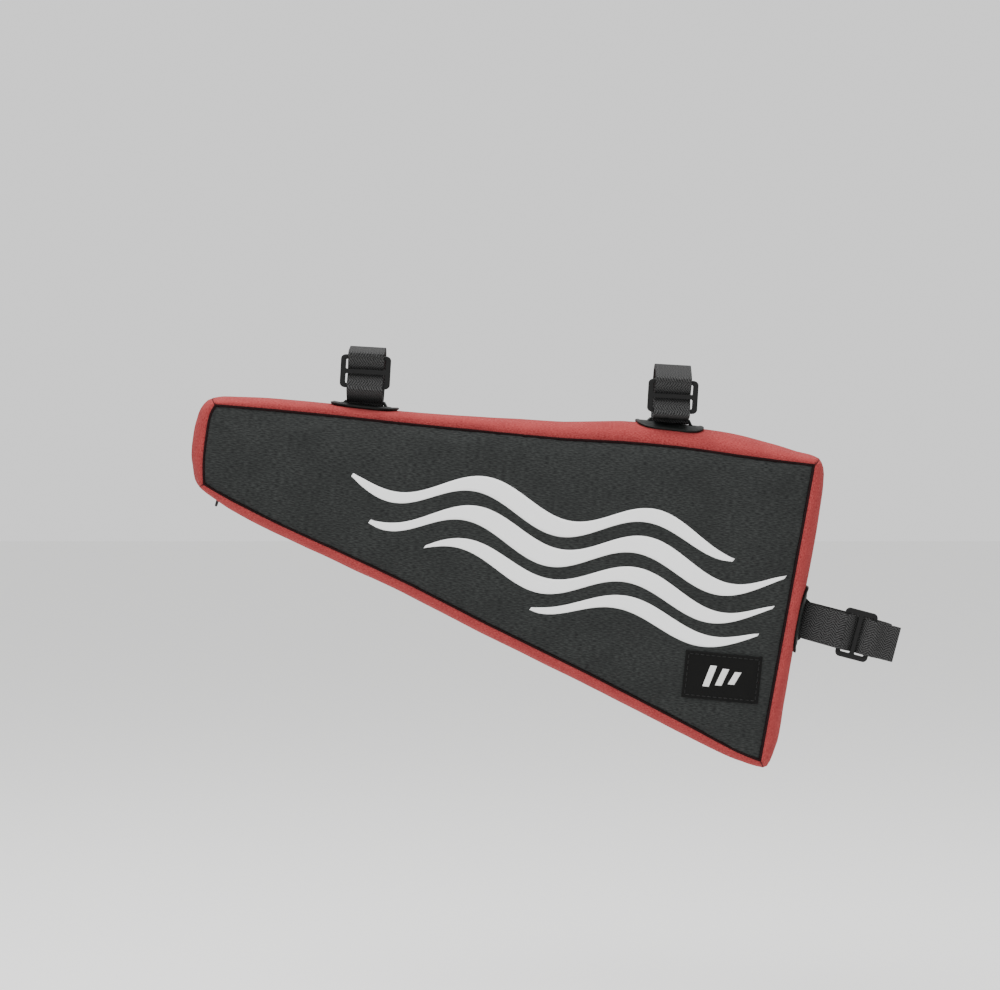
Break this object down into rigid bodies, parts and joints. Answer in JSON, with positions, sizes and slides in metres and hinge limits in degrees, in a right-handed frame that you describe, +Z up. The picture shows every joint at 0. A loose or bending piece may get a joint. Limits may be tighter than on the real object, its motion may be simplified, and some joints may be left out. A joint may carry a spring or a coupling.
{
  "type": "bicycle frame bag",
  "caption": "Padded pouch that hangs between the tubes of a bicycle frame, with webbing loops, slides, slotted patches and a zip on its far side.",
  "frame": {"origin": "on the axis of the top tube, midway between the two upper straps", "axes": "+X towards the rear of the bicycle, -Y towards the side with the label, +Z up"},
  "size_m": [0.3987, 0.0651, 0.2384],
  "materials": {
    "red_heather": "woven two-tone polyester",
    "charcoal_heather": "woven two-tone polyester over foam",
    "webbing": "ribbed hook and loop webbing",
    "black_plastic": "moulded acetal, satin",
    "black_rubber": "moulded coated fabric, satin",
    "label_weave": "fine woven label"
  },
  "bodies": {
    "root": {"gusset_top": "red_heather", "gusset_rear": "red_heather", "gusset_bottom": "red_heather", "gusset_front": "red_heather", "side_panel_near": "charcoal_heather", "side_panel_far_upper": "charcoal_heather", "side_panel_far_lower": "charcoal_heather", "zip_tape": "webbing", "zip_slider": "black_plastic", "zip_pull": "webbing", "side_label": "label_weave", "patch_top_front": "black_rubber", "patch_top_rear": "black_rubber", "patch_rear": "black_rubber", "strap_top_front": "webbing", "strap_top_rear": "webbing", "strap_rear": "webbing", "buckle_top_front": "black_plastic", "buckle_top_rear": "black_plastic", "buckle_rear": "black_plastic"}
  },
  "joints": []
}
